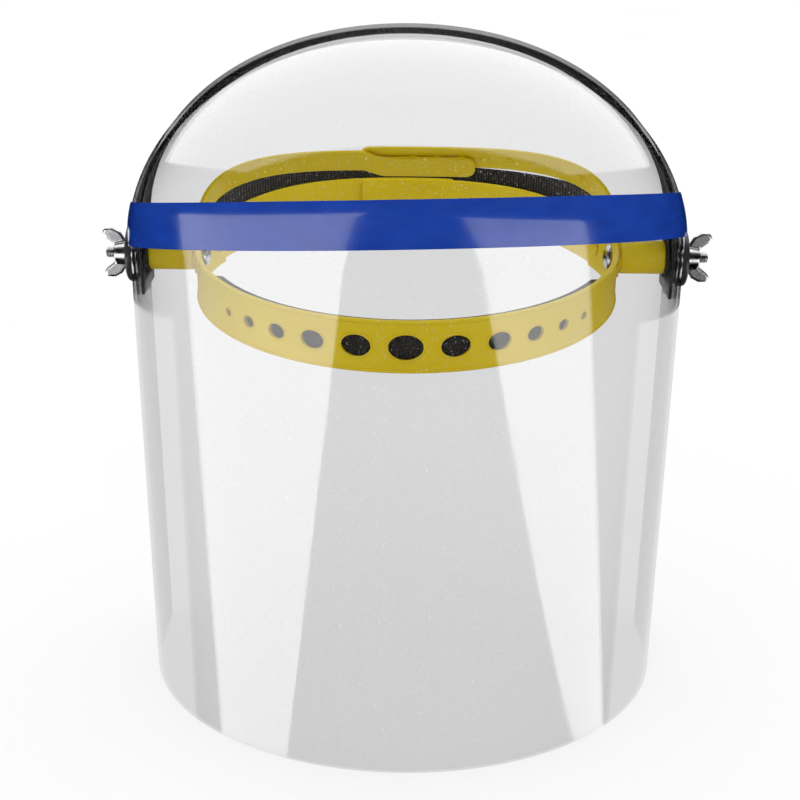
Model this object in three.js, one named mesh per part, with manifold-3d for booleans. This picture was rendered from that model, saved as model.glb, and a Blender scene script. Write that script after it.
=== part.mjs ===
// A browguard face shield: a clear domed visor with a black crown strip, hung on two wing-nut
// pivots from a yellow headband. Millimetres, +Z up, the wearer faces -Y. The visor stands on its
// bottom rim, and the origin is the middle of the footprint of the whole shield.
import * as THREE from "three";
import { mergeGeometries, mergeVertices } from "three/addons/utils/BufferGeometryUtils.js";
import Module from "manifold-3d";

const wasm = await Module();
wasm.setup();

// ---- Driving dimensions. Positions are measured from the pivot axis, which runs along X. ----

const GAP = 0.3; // between pieces that touch

// Visor: a clear sheet, seen in plan as a half ellipse with short straight sides behind it.
const VISOR_HALF_WIDTH = 121.5;
const VISOR_FRONT = -112; // y of the outer face
const VISOR_BOTTOM = -200; // z of the rim
const SHEET = 1.5;
const HOOP_FRONT = -10; // the crown arch is straight from here
const HOOP_REAR = 17; // to here, the rear edge of the sheet
const ARCH_BASE = 10; // z where the sides start to close in
const ARCH_TOP = 100;
const ARCH_POWER = 2.05; // superellipse exponent of the arch
const SHOULDER = 0.42; // part of the arch height where the wall starts to lean back
const DOME_RISE = 0.6; // how far the dome's section goes on upright from there
const DOME_LEVEL = 0.5; // how far it comes in level to the arch

// Label: a plain band of film round the shoulder, in a plane that rises towards the front.
const LABEL_SIDE_Z = 27; // top edge at the pivots
const LABEL_FRONT_Z = 54.5; // top edge at the front
const LABEL_HEIGHT = 19;
const LABEL_REAR = -14;
const LABEL_TILT = 1.6; // degrees: it's stuck on a little higher on the right
const FILM = 0.4;

// Crown strip: a flat strip bent inside the arch, square at its ends.
const STRIP_THICKNESS = 1.5;
const STRIP_MARGIN = 0.5; // the sheet shows past each edge of the strip
const STRIP_END = -17; // z of its square ends

// Headband ring: an oval band that rises a little to the rear.
const BAND_HALF_WIDTH = 94.2;
const BAND_FRONT = 101.2;
const BAND_REAR = 85.7;
const BAND_REAR_POWER = 2.2; // the rear half is squarer than an ellipse
const BAND_THICKNESS = 2;
const BAND_HEIGHT = 21.6;
const BAND_FRONT_TOP = 3.7; // z of its top edge at the front
const BAND_RISE = 5.3; // how much it climbs evenly to the rear
const NAPE_LIFT = 5; // how much more the nape bands climb behind the brow band
const BROW_END = 34; // y where the brow band ends, behind the pivots

// Brow holes: ovals that get smaller towards the sides.
const HOLE_WIDTH = 14.7; // of the middle hole
const HOLE_HEIGHT = 11.2;
const LAST_HOLE_WIDTH = 5;
const LAST_HOLE_HEIGHT = 4;
const HOLES_PER_SIDE = 5;
const HOLE_SPREAD = 51; // degrees from the middle to the last hole
const HOLE_CROWDING = 1.22; // the steps get shorter towards the sides

// Sweatband: foam inside the brow band.
const FOAM_THICKNESS = 4;
const FOAM_HALF_ANGLE = 68;
const FOAM_EDGE = 1; // stands back from the band's edges

// Nape bands: a left and a right strap that lap at the rear, and an elastic behind them.
const NAPE_THICKNESS = 1.8;
const NAPE_START = 21; // y of their front ends
const NAPE_LAP = 12; // degrees past the middle
const NAPE_REAR = 90; // y of the outer strap at the middle
const ELASTIC_THICKNESS = 1.2;
const ELASTIC_HEIGHT = 28;
const ELASTIC_TOP = 20;
const ELASTIC_HALF_ANGLE = 78;

// Crown straps: two halves that swing on the pivot bolts and lap at the top, here folded back.
const STRAP_THICKNESS = 1.4;
const STRAP_WIDTH = 15;
const STRAP_END_WIDTH = 11; // at the pivots
const STRAP_REACH = 53.2; // from the pivots to the middle
const STRAP_POWER = 3.6; // superellipse exponent: the strap hangs in a squarish bow
const STRAP_FOLD = 44; // degrees above the horizontal
const STRAP_OVERRUN = 4.5; // degrees past the pivot
const STRAP_LAP_RIGHT = 22; // degrees past the middle
const STRAP_LAP_LEFT = 32;
const TONGUE_DROP = 5; // the left strap's tongue lies lower than the right strap
const TONGUE_START = 66; // degrees where it starts to turn down
const TONGUE_LEVEL = 78; // and where it is level again

// Pivot hardware, M5.
const BOLT_RADIUS = 2.5;
const BORE_RADIUS = 2.8;
const BOLT_HEAD_RADIUS = 6;
const BOLT_HEAD = 3;
const BOLT_CHAMFER = 0.6;
const BOLT_END = 136; // x of the thread's end
const SPACER_RADIUS = 7.5;
const SPACER_EDGE = 0.5;
const FRICTION_RADIUS = 9;
const FRICTION_THICKNESS = 1.5;
const WASHER_RADIUS = 13;
const WASHER_THICKNESS = 4;
const WASHER_EDGE = 0.8; // rounding
const NUT_HUB_BASE = 5.5;
const NUT_HUB_TOP = 4.5;
const NUT_HUB_HEIGHT = 6;
const WING_SPAN = 11.5; // from the axis to a wing's tip
const WING_HEIGHT = 11.5;
const WING_THICKNESS = 1.8;

// Band rivets, which join the brow band, a nape band and the elastic.
const RIVET_Y = 27.5;
const RIVET_SHANK = 2;
const RIVET_HEAD = 4;
const RIVET_BACK = 2.4; // its inner head's face, behind the brow band's outer face
const RIVET_FRONT = 4.2; // its outer head's face, in front of it
const RIVET_HEAD_THICKNESS = 1.4;

// ---- Worked-out dimensions ----

const STRIP_FACE = VISOR_HALF_WIDTH - SHEET - GAP; // x of the strip's outer face
const FRICTION_FACE = STRIP_FACE - STRIP_THICKNESS - GAP;
const SPACER_FACE = FRICTION_FACE - FRICTION_THICKNESS - GAP;
const STRAP_FACE = BAND_HALF_WIDTH + GAP + STRAP_THICKNESS;
const SPACER_INNER = STRAP_FACE + GAP;
const BOLT_FACE = BAND_HALF_WIDTH - BAND_THICKNESS - GAP;
const WASHER_FACE = VISOR_HALF_WIDTH + GAP;
const NUT_FACE = WASHER_FACE + WASHER_THICKNESS + GAP;
const NAPE_INNER = BAND_HALF_WIDTH + GAP;
const NAPE_OUTER = NAPE_INNER + NAPE_THICKNESS;
const ELASTIC_REAR = NAPE_REAR + GAP + ELASTIC_THICKNESS;
const FRONT_EDGE = VISOR_FRONT - GAP - FILM;
const FOOTPRINT_MIDDLE = (FRONT_EDGE + ELASTIC_REAR) / 2;

const degrees = THREE.MathUtils.degToRad;
const { lerp, smoothstep } = THREE.MathUtils;

// ---- Surfaces and solids ----

// A grid of (columns + 1) by (rows + 1) points, facing the side where columns x rows points.
function gridSurface(columns, rows, pointAt) {
  const points = [];
  const faces = [];
  for (let i = 0; i <= columns; i++) {
    for (let j = 0; j <= rows; j++) points.push(...pointAt(i / columns, j / rows));
  }
  for (let i = 0; i < columns; i++) {
    for (let j = 0; j < rows; j++) {
      const a = i * (rows + 1) + j;
      const b = a + rows + 1;
      faces.push(a, b, b + 1, a, b + 1, a + 1);
    }
  }
  const surface = new THREE.BufferGeometry();
  surface.setAttribute("position", new THREE.Float32BufferAttribute(points, 3));
  surface.setIndex(faces);
  return surface;
}

// The closed solid between two offsets of an open surface, measured outwards from it.
function sheetSolid(surface, outer, inner) {
  const skin = mergeVertices(surface, 1e-3);
  skin.computeVertexNormals();
  const { position, normal } = skin.attributes;
  const count = position.count;
  const points = [];
  for (const offset of [outer, inner]) {
    for (let v = 0; v < count; v++) {
      points.push(position.getX(v) + normal.getX(v) * offset);
      points.push(position.getY(v) + normal.getY(v) * offset);
      points.push(position.getZ(v) + normal.getZ(v) * offset);
    }
  }
  const faces = [];
  const edges = new Map();
  for (let i = 0; i < skin.index.count; i += 3) {
    const [a, b, c] = [0, 1, 2].map((k) => skin.index.getX(i + k));
    if (a === b || b === c || c === a) continue;
    faces.push(a, b, c, c + count, b + count, a + count);
    for (const [p, q] of [[a, b], [b, c], [c, a]]) edges.set(`${p},${q}`, [p, q]);
  }
  for (const [p, q] of edges.values()) {
    if (edges.has(`${q},${p}`)) continue;
    faces.push(q, p, p + count, q, p + count, q + count);
  }
  const solid = new THREE.BufferGeometry();
  solid.setAttribute("position", new THREE.Float32BufferAttribute(points, 3));
  solid.setIndex(faces);
  return solid;
}

function toManifold(geometry) {
  const bare = geometry.clone();
  bare.deleteAttribute("normal");
  bare.deleteAttribute("uv");
  const merged = mergeVertices(bare, 1e-4);
  return new wasm.Manifold(
    new wasm.Mesh({
      numProp: 3,
      vertProperties: merged.attributes.position.array,
      triVerts: new Uint32Array(merged.index.array),
    }),
  );
}

function toGeometry(manifold) {
  const mesh = manifold.getMesh();
  const geometry = new THREE.BufferGeometry();
  geometry.setAttribute("position", new THREE.BufferAttribute(mesh.vertProperties, 3));
  geometry.setIndex(new THREE.BufferAttribute(mesh.triVerts, 1));
  geometry.computeVertexNormals();
  return geometry;
}

function cut(geometry, ...tools) {
  return toGeometry(tools.reduce((left, tool) => left.subtract(toManifold(tool)), toManifold(geometry)));
}

// A round tool along X, through one side or both.
function boreAlongX(radius, from, to, y = 0, z = 0) {
  return new THREE.CylinderGeometry(radius, radius, to - from, 24)
    .rotateZ(Math.PI / 2)
    .translate((from + to) / 2, y, z);
}

// A turned piece with its axis along +X: pairs of (x, radius) round a closed profile.
function turnedAlongX(profile, segments = 32) {
  const points = profile.map(([x, radius]) => new THREE.Vector2(radius, x));
  return new THREE.LatheGeometry(points, segments).rotateZ(-Math.PI / 2);
}

// A ring with a square section, from x = 0 to x = length.
function collar(bore, radius, length, edge = 0) {
  return turnedAlongX([
    [0, bore],
    [0, radius - edge],
    [edge, radius],
    [length - edge, radius],
    [length, radius - edge],
    [length, bore],
    [0, bore],
  ]);
}

// ---- Visor ----

function archHeight(x) {
  const side = Math.min(1, Math.abs(x) / VISOR_HALF_WIDTH);
  return ARCH_BASE + (ARCH_TOP - ARCH_BASE) * (1 - side ** ARCH_POWER) ** (1 / ARCH_POWER);
}

// One upright section of the dome at a constant x: a curve that leaves the wall upright and meets
// the arch level.
function domeSection(x, wallY, t) {
  const top = archHeight(x);
  const foot = lerp(ARCH_BASE, top, SHOULDER);
  const curve = new THREE.CubicBezierCurve(
    new THREE.Vector2(wallY, foot),
    new THREE.Vector2(wallY, lerp(foot, top, DOME_RISE)),
    new THREE.Vector2(lerp(HOOP_FRONT, wallY, DOME_LEVEL), top),
    new THREE.Vector2(HOOP_FRONT, top),
  );
  const point = curve.getPoint(t);
  return [x, point.x, point.y];
}

// The visor's outer face: wall, dome, arch and the two straight side walls.
function visorSurface() {
  const columns = 44;
  const wallRows = 2;
  const domeRows = 9;
  const sideRows = 2;
  const plan = (u) => {
    const depth = (HOOP_FRONT - VISOR_FRONT) * Math.sin(Math.PI * u);
    return { x: -VISOR_HALF_WIDTH * Math.cos(Math.PI * u), y: HOOP_FRONT - depth };
  };
  const wall = gridSurface(columns, wallRows, (u, v) => {
    const { x, y } = plan(u);
    const foot = lerp(ARCH_BASE, archHeight(x), SHOULDER);
    return [x, y, lerp(VISOR_BOTTOM, foot, v)];
  });
  const dome = gridSurface(columns, domeRows, (u, v) => {
    const { x, y } = plan(u);
    return domeSection(x, y, v);
  });
  const hoop = gridSurface(columns, sideRows, (u, v) => {
    const { x } = plan(u);
    return [x, lerp(HOOP_FRONT, HOOP_REAR, v), archHeight(x)];
  });
  const sides = [-1, 1].map((side) =>
    gridSurface(sideRows, wallRows, (u, v) => {
      const y = lerp(HOOP_FRONT, HOOP_REAR, side < 0 ? 1 - u : u);
      return [side * VISOR_HALF_WIDTH, y, lerp(VISOR_BOTTOM, ARCH_BASE, v)];
    }),
  );
  return mergeGeometries([wall, dome, hoop, ...sides]);
}

function visorShell() {
  const shell = sheetSolid(visorSurface(), 0, -SHEET);
  const reach = VISOR_HALF_WIDTH + 5;
  return cut(shell, boreAlongX(BORE_RADIUS, -reach, reach));
}

// The film is the part of a skin just outside the visor that lies between two sloping planes.
function visorLabel() {
  const skin = toManifold(sheetSolid(visorSurface(), GAP + FILM, GAP));
  const slope = Math.atan((LABEL_FRONT_Z - LABEL_SIDE_Z) / -VISOR_FRONT);
  const width = 2 * VISOR_HALF_WIDTH + 20;
  const depth = 300;
  const slab = new THREE.BoxGeometry(width, depth, LABEL_HEIGHT * Math.cos(slope))
    .translate(0, 0, (-LABEL_HEIGHT * Math.cos(slope)) / 2)
    .rotateX(-slope)
    .rotateY(-degrees(LABEL_TILT))
    .translate(0, 0, LABEL_SIDE_Z);
  const inFront = new THREE.BoxGeometry(width, depth, depth).translate(0, LABEL_REAR - depth / 2, 0);
  return toGeometry(skin.intersect(toManifold(slab)).intersect(toManifold(inFront)));
}

// The arch and its straight legs as a line of points, a given distance inside the visor's face.
function archLine(inset) {
  const steps = 44;
  const line = [];
  for (let i = 0; i <= steps; i++) {
    const x = VISOR_HALF_WIDTH * Math.cos((Math.PI * i) / steps);
    line.push(new THREE.Vector2(x, archHeight(x)));
  }
  const inside = line.map((point, i) => {
    const before = line[Math.max(0, i - 1)];
    const after = line[Math.min(steps, i + 1)];
    const along = after.clone().sub(before).normalize();
    if (i === 0 || i === steps) along.set(0, i === 0 ? 1 : -1);
    return new THREE.Vector2(point.x - along.y * inset, point.y + along.x * inset);
  });
  const legX = VISOR_HALF_WIDTH - inset;
  return [new THREE.Vector2(legX, STRIP_END), ...inside, new THREE.Vector2(-legX, STRIP_END)];
}

function crownStrip() {
  const outer = archLine(SHEET + GAP);
  const inner = archLine(SHEET + GAP + STRIP_THICKNESS).reverse();
  const width = HOOP_REAR - HOOP_FRONT - 2 * STRIP_MARGIN;
  const strip = new THREE.ExtrudeGeometry(new THREE.Shape([...outer, ...inner]), {
    depth: width,
    bevelEnabled: false,
    curveSegments: 1,
  })
    .rotateX(Math.PI / 2)
    .translate(0, HOOP_REAR - STRIP_MARGIN, 0);
  const reach = VISOR_HALF_WIDTH;
  return cut(strip, boreAlongX(BORE_RADIUS, -reach, reach));
}

// ---- Headband ----

// A point on an oval ring at an angle from +X towards +Y.
function ringPoint(angle, halfWidth, front, rear) {
  const [c, s] = [Math.cos(angle), Math.sin(angle)];
  const power = s < 0 ? 1 : 2 / BAND_REAR_POWER;
  const depth = s < 0 ? front : rear;
  return [halfWidth * Math.sign(c) * Math.abs(c) ** power, depth * Math.sign(s) * Math.abs(s) ** power];
}

function bandTop(y) {
  const rise = (BAND_RISE * (y + BAND_FRONT)) / (BAND_FRONT + NAPE_REAR);
  return BAND_FRONT_TOP + rise + NAPE_LIFT * smoothstep(y, BROW_END, NAPE_REAR);
}

// A band on an oval, between two angles, with its height range given for each y.
function ringBand({ halfWidth, front, rear, thickness, from, to, steps, range }) {
  const surface = gridSurface(steps, 1, (u, v) => {
    const [x, y] = ringPoint(lerp(from, to, u), halfWidth, front, rear);
    const [low, high] = range(y);
    return [x, y, lerp(low, high, v)];
  });
  return sheetSolid(surface, 0, -thickness);
}

// The angle on the rear half of a ring where it reaches a given y.
function rearAngle(y, rear) {
  return Math.asin((y / rear) ** (BAND_REAR_POWER / 2));
}

// Sets a piece that lies along +X where a rivet crosses the brow band, square to the band.
function placeAtRivet(geometry, side) {
  const angle = rearAngle(RIVET_Y, BAND_REAR);
  const step = 0.01;
  const [x] = ringPoint(angle, BAND_HALF_WIDTH, BAND_FRONT, BAND_REAR);
  const [x0, y0] = ringPoint(angle - step, BAND_HALF_WIDTH, BAND_FRONT, BAND_REAR);
  const [x1, y1] = ringPoint(angle + step, BAND_HALF_WIDTH, BAND_FRONT, BAND_REAR);
  const turn = Math.atan2(x0 - x1, y1 - y0);
  return geometry
    .rotateZ(side > 0 ? turn : Math.PI - turn)
    .translate(side * x, RIVET_Y, bandTop(RIVET_Y) - BAND_HEIGHT / 2);
}

function rivetBores() {
  const radius = RIVET_SHANK + GAP;
  return [-1, 1].map((side) => placeAtRivet(boreAlongX(radius, -RIVET_BACK, RIVET_FRONT), side));
}

// Oval tools through the front of the band, one in the middle and five on each side.
function browHoleTools() {
  const tools = [];
  for (let i = -HOLES_PER_SIDE; i <= HOLES_PER_SIDE; i++) {
    const part = Math.abs(i) / HOLES_PER_SIDE;
    const turn = degrees(((HOLE_SPREAD * i) / HOLES_PER_SIDE) * lerp(HOLE_CROWDING, 1, part));
    const [x, y] = ringPoint(turn - Math.PI / 2, BAND_HALF_WIDTH, BAND_FRONT, BAND_REAR);
    const tool = new THREE.CylinderGeometry(0.5, 0.5, 6 * BAND_THICKNESS, 24)
      .scale(lerp(HOLE_WIDTH, LAST_HOLE_WIDTH, part), 1, lerp(HOLE_HEIGHT, LAST_HOLE_HEIGHT, part))
      .rotateZ(turn)
      .translate(x, y, bandTop(y) - BAND_HEIGHT / 2);
    tools.push(tool);
  }
  return tools;
}

function browBand() {
  const end = rearAngle(BROW_END, BAND_REAR);
  const band = ringBand({
    halfWidth: BAND_HALF_WIDTH,
    front: BAND_FRONT,
    rear: BAND_REAR,
    thickness: BAND_THICKNESS,
    from: -Math.PI - end,
    to: end,
    steps: 64,
    range: (y) => [bandTop(y) - BAND_HEIGHT, bandTop(y)],
  });
  const reach = BAND_HALF_WIDTH + 5;
  return cut(band, boreAlongX(BORE_RADIUS, -reach, reach), ...rivetBores(), ...browHoleTools());
}

function browSweatband() {
  const inset = BAND_THICKNESS + GAP;
  return ringBand({
    halfWidth: BAND_HALF_WIDTH - inset,
    front: BAND_FRONT - inset,
    rear: BAND_REAR - inset,
    thickness: FOAM_THICKNESS,
    from: -Math.PI / 2 - degrees(FOAM_HALF_ANGLE),
    to: -Math.PI / 2 + degrees(FOAM_HALF_ANGLE),
    steps: 36,
    range: (y) => [bandTop(y) - BAND_HEIGHT + FOAM_EDGE, bandTop(y) - FOAM_EDGE],
  });
}

// side is 1 for the right strap, which passes inside at the lap, and -1 for the left.
function napeBand(side) {
  const rear = side > 0 ? NAPE_REAR - NAPE_THICKNESS - 2 * GAP : NAPE_REAR;
  const start = rearAngle(NAPE_START, rear);
  const end = Math.PI / 2 + degrees(NAPE_LAP);
  const band = ringBand({
    halfWidth: NAPE_OUTER,
    front: BAND_FRONT,
    rear,
    thickness: NAPE_THICKNESS,
    from: side > 0 ? start : Math.PI - end,
    to: side > 0 ? end : Math.PI - start,
    steps: 30,
    range: (y) => [bandTop(y) - BAND_HEIGHT, bandTop(y)],
  });
  return cut(band, ...rivetBores());
}

function napeElastic() {
  const band = ringBand({
    halfWidth: NAPE_OUTER + GAP + ELASTIC_THICKNESS,
    front: BAND_FRONT,
    rear: ELASTIC_REAR,
    thickness: ELASTIC_THICKNESS,
    from: Math.PI / 2 - degrees(ELASTIC_HALF_ANGLE),
    to: Math.PI / 2 + degrees(ELASTIC_HALF_ANGLE),
    steps: 44,
    range: (y) => {
      const top = lerp(bandTop(RIVET_Y), ELASTIC_TOP, smoothstep(y, NAPE_START, NAPE_REAR * 0.6));
      return [Math.max(top - ELASTIC_HEIGHT, bandTop(y) - BAND_HEIGHT), top];
    },
  });
  return cut(band, ...rivetBores());
}

// A half of the crown strap, level here: the group that holds it folds it back.
function crownStrap(side) {
  const reach = side > 0 ? STRAP_REACH : STRAP_REACH - STRAP_THICKNESS - 3 * GAP;
  const lap = Math.PI / 2 + degrees(side > 0 ? STRAP_LAP_RIGHT : STRAP_LAP_LEFT);
  const start = -degrees(STRAP_OVERRUN);
  const surface = gridSurface(36, 1, (u, v) => {
    const turn = lerp(start, lap, side > 0 ? u : 1 - u);
    const [c, s] = [Math.cos(turn), Math.sin(turn)];
    const shape = Math.abs(c / STRAP_FACE) ** STRAP_POWER + Math.abs(s / reach) ** STRAP_POWER;
    const radius = shape ** (-1 / STRAP_POWER);
    const width = lerp(STRAP_END_WIDTH, STRAP_WIDTH, smoothstep(turn, 0, degrees(30)));
    const down = smoothstep(turn, degrees(TONGUE_START), degrees(TONGUE_LEVEL));
    const drop = side > 0 ? 0 : TONGUE_DROP * down;
    return [side * radius * c, radius * s, width * (v - 0.5) - drop];
  });
  const strap = sheetSolid(surface, 0, -STRAP_THICKNESS);
  const edge = side * STRAP_FACE;
  return cut(strap, boreAlongX(BORE_RADIUS, edge - 5, edge + 5));
}

// ---- Pivot hardware, each along +X from its inner face at x = 0 ----

function pivotBolt() {
  const length = BOLT_END - BOLT_FACE;
  const head = [0, 30, 60, 90].map((turn) => [
    -BOLT_HEAD * Math.cos(degrees(turn)),
    BOLT_HEAD_RADIUS * Math.sin(degrees(turn)),
  ]);
  return turnedAlongX([
    ...head,
    [0, BOLT_RADIUS],
    [length - BOLT_CHAMFER, BOLT_RADIUS],
    [length, BOLT_RADIUS - BOLT_CHAMFER],
    [length, 0],
  ], 24);
}

function bandRivet() {
  return turnedAlongX([
    [-RIVET_BACK - RIVET_HEAD_THICKNESS, 0],
    [-RIVET_BACK - RIVET_HEAD_THICKNESS, RIVET_HEAD - 1],
    [-RIVET_BACK, RIVET_HEAD],
    [-RIVET_BACK, RIVET_SHANK],
    [RIVET_FRONT, RIVET_SHANK],
    [RIVET_FRONT, RIVET_HEAD],
    [RIVET_FRONT + RIVET_HEAD_THICKNESS, RIVET_HEAD - 1],
    [RIVET_FRONT + RIVET_HEAD_THICKNESS, 0],
  ], 20);
}

// A conical hub with two upright wings that lean outwards.
function wingNut() {
  const hub = turnedAlongX([
    [0, BORE_RADIUS],
    [0, NUT_HUB_BASE],
    [NUT_HUB_HEIGHT, NUT_HUB_TOP],
    [NUT_HUB_HEIGHT, BORE_RADIUS],
    [0, BORE_RADIUS],
  ], 28);
  const wing = new THREE.Shape();
  wing.moveTo(0.8, NUT_HUB_TOP - 0.8);
  wing.lineTo(0.8, NUT_HUB_BASE);
  wing.quadraticCurveTo(2.5, WING_SPAN - 1.5, 7.5, WING_SPAN);
  wing.quadraticCurveTo(WING_HEIGHT, WING_SPAN, WING_HEIGHT, WING_SPAN - 3);
  wing.quadraticCurveTo(WING_HEIGHT - 1, NUT_HUB_BASE + 0.5, NUT_HUB_HEIGHT - 0.6, NUT_HUB_TOP - 0.8);
  const plate = new THREE.ExtrudeGeometry(wing, {
    depth: WING_THICKNESS,
    bevelEnabled: false,
    curveSegments: 6,
  })
    .translate(0, 0, -WING_THICKNESS / 2)
    .rotateX(Math.PI / 2);
  const upper = toManifold(plate);
  const lower = toManifold(plate.clone().rotateX(Math.PI));
  return toGeometry(toManifold(hub).add(upper).add(lower));
}

// ---- Materials ----

function material(color, roughness, metalness = 0, opacity = 1) {
  const transparent = opacity < 1;
  return new THREE.MeshStandardMaterial({ color, roughness, metalness, opacity, transparent });
}

const CLEAR = () => material(0xe6edf0, 0.05, 0, 0.3);
const BLUE_FILM = () => material(0x16338f, 0.3);
const BLACK_PLASTIC = () => material(0x1c1d20, 0.4);
const YELLOW_PLASTIC = () => material(0xd9bd22, 0.45);
const FOAM = () => material(0x151515, 0.95);
const ELASTIC = () => material(0x1b1b1d, 0.9);
const RUBBER = () => material(0x202020, 0.8);
const ZINC = () => material(0xc9ccd0, 0.3, 1);

// ---- Assembly ----

function mesh(name, geometry, finish) {
  const piece = new THREE.Mesh(geometry, finish());
  piece.name = name;
  return piece;
}

// The pieces on one pivot, turned round for the left side.
function pivotHardware(side) {
  const name = side > 0 ? "right" : "left";
  const spacer = collar(BORE_RADIUS, SPACER_RADIUS, SPACER_FACE - SPACER_INNER, SPACER_EDGE);
  const friction = collar(BORE_RADIUS, FRICTION_RADIUS, FRICTION_THICKNESS);
  const clamp = collar(BORE_RADIUS, WASHER_RADIUS, WASHER_THICKNESS, WASHER_EDGE);
  const pieces = [
    ["pivot_bolt", pivotBolt(), ZINC, BOLT_FACE],
    ["pivot_spacer", spacer, YELLOW_PLASTIC, SPACER_INNER],
    ["friction_washer", friction, RUBBER, SPACER_FACE + GAP],
    ["clamp_washer", clamp, BLACK_PLASTIC, WASHER_FACE],
    ["wing_nut", wingNut(), ZINC, NUT_FACE],
  ];
  const group = new THREE.Group();
  for (const [piece, geometry, finish, x] of pieces) {
    const part = mesh(`${piece}_${name}`, geometry, finish);
    part.position.x = x;
    group.add(part);
  }
  if (side < 0) group.rotation.z = Math.PI;
  return group;
}

const visor = new THREE.Group();
visor.add(mesh("visor_shell", visorShell(), CLEAR));
visor.add(mesh("visor_label", visorLabel(), BLUE_FILM));
visor.add(mesh("crown_strip", crownStrip(), BLACK_PLASTIC));

const headband = new THREE.Group();
headband.add(mesh("brow_band", browBand(), YELLOW_PLASTIC));
headband.add(mesh("brow_sweatband", browSweatband(), FOAM));
headband.add(mesh("nape_band_left", napeBand(-1), YELLOW_PLASTIC));
headband.add(mesh("nape_band_right", napeBand(1), YELLOW_PLASTIC));
headband.add(mesh("nape_elastic", napeElastic(), ELASTIC));
headband.add(mesh("band_rivet_left", placeAtRivet(bandRivet(), -1), YELLOW_PLASTIC));
headband.add(mesh("band_rivet_right", placeAtRivet(bandRivet(), 1), YELLOW_PLASTIC));

const crownStraps = new THREE.Group();
crownStraps.add(mesh("crown_strap_left", crownStrap(-1), YELLOW_PLASTIC));
crownStraps.add(mesh("crown_strap_right", crownStrap(1), YELLOW_PLASTIC));
crownStraps.rotation.x = degrees(STRAP_FOLD);
headband.add(crownStraps);

const faceShield = new THREE.Group();
const onPivots = new THREE.Group();
onPivots.add(visor, headband, pivotHardware(-1), pivotHardware(1));
onPivots.position.set(0, -FOOTPRINT_MIDDLE, -VISOR_BOTTOM);
faceShield.add(onPivots);

export default faceShield;
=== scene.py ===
"""A clear domed face shield on its yellow headband: fine surfaces, materials, light and camera.

Every shape is laid out in millimetres from the pivot axis, which runs along X, and the wearer
faces -Y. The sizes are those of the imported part.
"""

from math import asin, atan, atan2, copysign, cos, hypot, pi, radians, sin, tan

import bmesh
import bpy
from mathutils import Matrix, Vector


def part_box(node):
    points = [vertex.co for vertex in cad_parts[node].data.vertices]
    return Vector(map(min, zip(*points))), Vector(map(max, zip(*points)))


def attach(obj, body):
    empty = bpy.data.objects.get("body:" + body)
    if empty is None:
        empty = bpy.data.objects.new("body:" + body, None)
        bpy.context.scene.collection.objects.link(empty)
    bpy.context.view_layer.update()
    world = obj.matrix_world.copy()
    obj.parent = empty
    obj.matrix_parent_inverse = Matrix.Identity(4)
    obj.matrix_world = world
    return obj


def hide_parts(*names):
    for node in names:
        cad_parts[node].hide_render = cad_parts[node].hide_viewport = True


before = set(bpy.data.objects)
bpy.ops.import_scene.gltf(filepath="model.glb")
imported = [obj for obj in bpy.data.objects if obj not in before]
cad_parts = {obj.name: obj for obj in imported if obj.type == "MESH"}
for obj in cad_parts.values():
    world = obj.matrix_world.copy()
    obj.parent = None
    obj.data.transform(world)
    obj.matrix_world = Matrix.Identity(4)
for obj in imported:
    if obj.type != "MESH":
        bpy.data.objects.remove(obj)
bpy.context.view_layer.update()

MM = 0.001
BOLT_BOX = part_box("pivot_bolt_right")
PIVOT = Vector((0, (BOLT_BOX[0].y + BOLT_BOX[1].y) / 2, (BOLT_BOX[0].z + BOLT_BOX[1].z) / 2))

# ---- Dimensions: millimetres, angles through radians(), and shares where a comment says so ----

GAP = 0.3
WELD = 0.005  # points nearer than this become one
MOULDED_EDGE = 0.3  # rounding of a moulded band's edges
BEAD_SINK = 0.2  # how deep a rim's middle lies below the face it stands on

VISOR_HALF_WIDTH = 121.5
VISOR_FRONT = -112
VISOR_BOTTOM = -200
SHEET = 1.5
HOOP_FRONT = -10
HOOP_REAR = 17
ARCH_BASE = 10
ARCH_TOP = 100
ARCH_POWER = 2.05
SHOULDER = 0.42
DOME_RISE = 0.6  # how far the dome's section goes on upright
DOME_LEVEL = 0.5  # how far it comes in level

LABEL_SIDE_Z = 27
LABEL_FRONT_Z = 54.5
LABEL_HEIGHT = 19
LABEL_REAR = -14
LABEL_TILT = radians(1.6)
LABEL_EDGE = 0.5
FILM = 0.4

STRIP_THICKNESS = 1.5
STRIP_MARGIN = 0.5
STRIP_END = -17
STRIP_EDGE = 0.4

BAND_HALF_WIDTH = 94.2
BAND_FRONT = 101.2
BAND_REAR = 85.7
BAND_REAR_POWER = 2.2
BAND_THICKNESS = 2
BAND_HEIGHT = 21.6
BAND_FRONT_TOP = 3.7
BAND_RISE = 5.3
NAPE_LIFT = 5
BROW_END = 34
RIM = 0.75  # radius of the rolled edges of the brow band
RIM_INSET = 0.035  # how far in they lie, as a share of its height

HOLE_WIDTH = 14.7
HOLE_HEIGHT = 11.2
LAST_HOLE_WIDTH = 5
LAST_HOLE_HEIGHT = 4
HOLES_PER_SIDE = 5
HOLE_SPREAD = radians(51)
HOLE_CROWDING = 1.22
HOLE_RIM = 0.45

FOAM_THICKNESS = 4
FOAM_HALF_ANGLE = radians(68)
FOAM_EDGE = 1
FOAM_FULLNESS = 0.5  # powers that make the section a rounded oblong: 1 is an ellipse, 0 a box
FOAM_SQUARENESS = 0.35
FOAM_END = 0.35  # how thin it is at its ends, as a share
FOAM_END_SLOPE = 12
FOAM_PUFFS = 37  # waves of the slight unevenness per radian, and per height
FOAM_PUFF_ROWS = 9
FOAM_PUFF_DEPTH = 0.0048  # as a share of its depth

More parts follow.
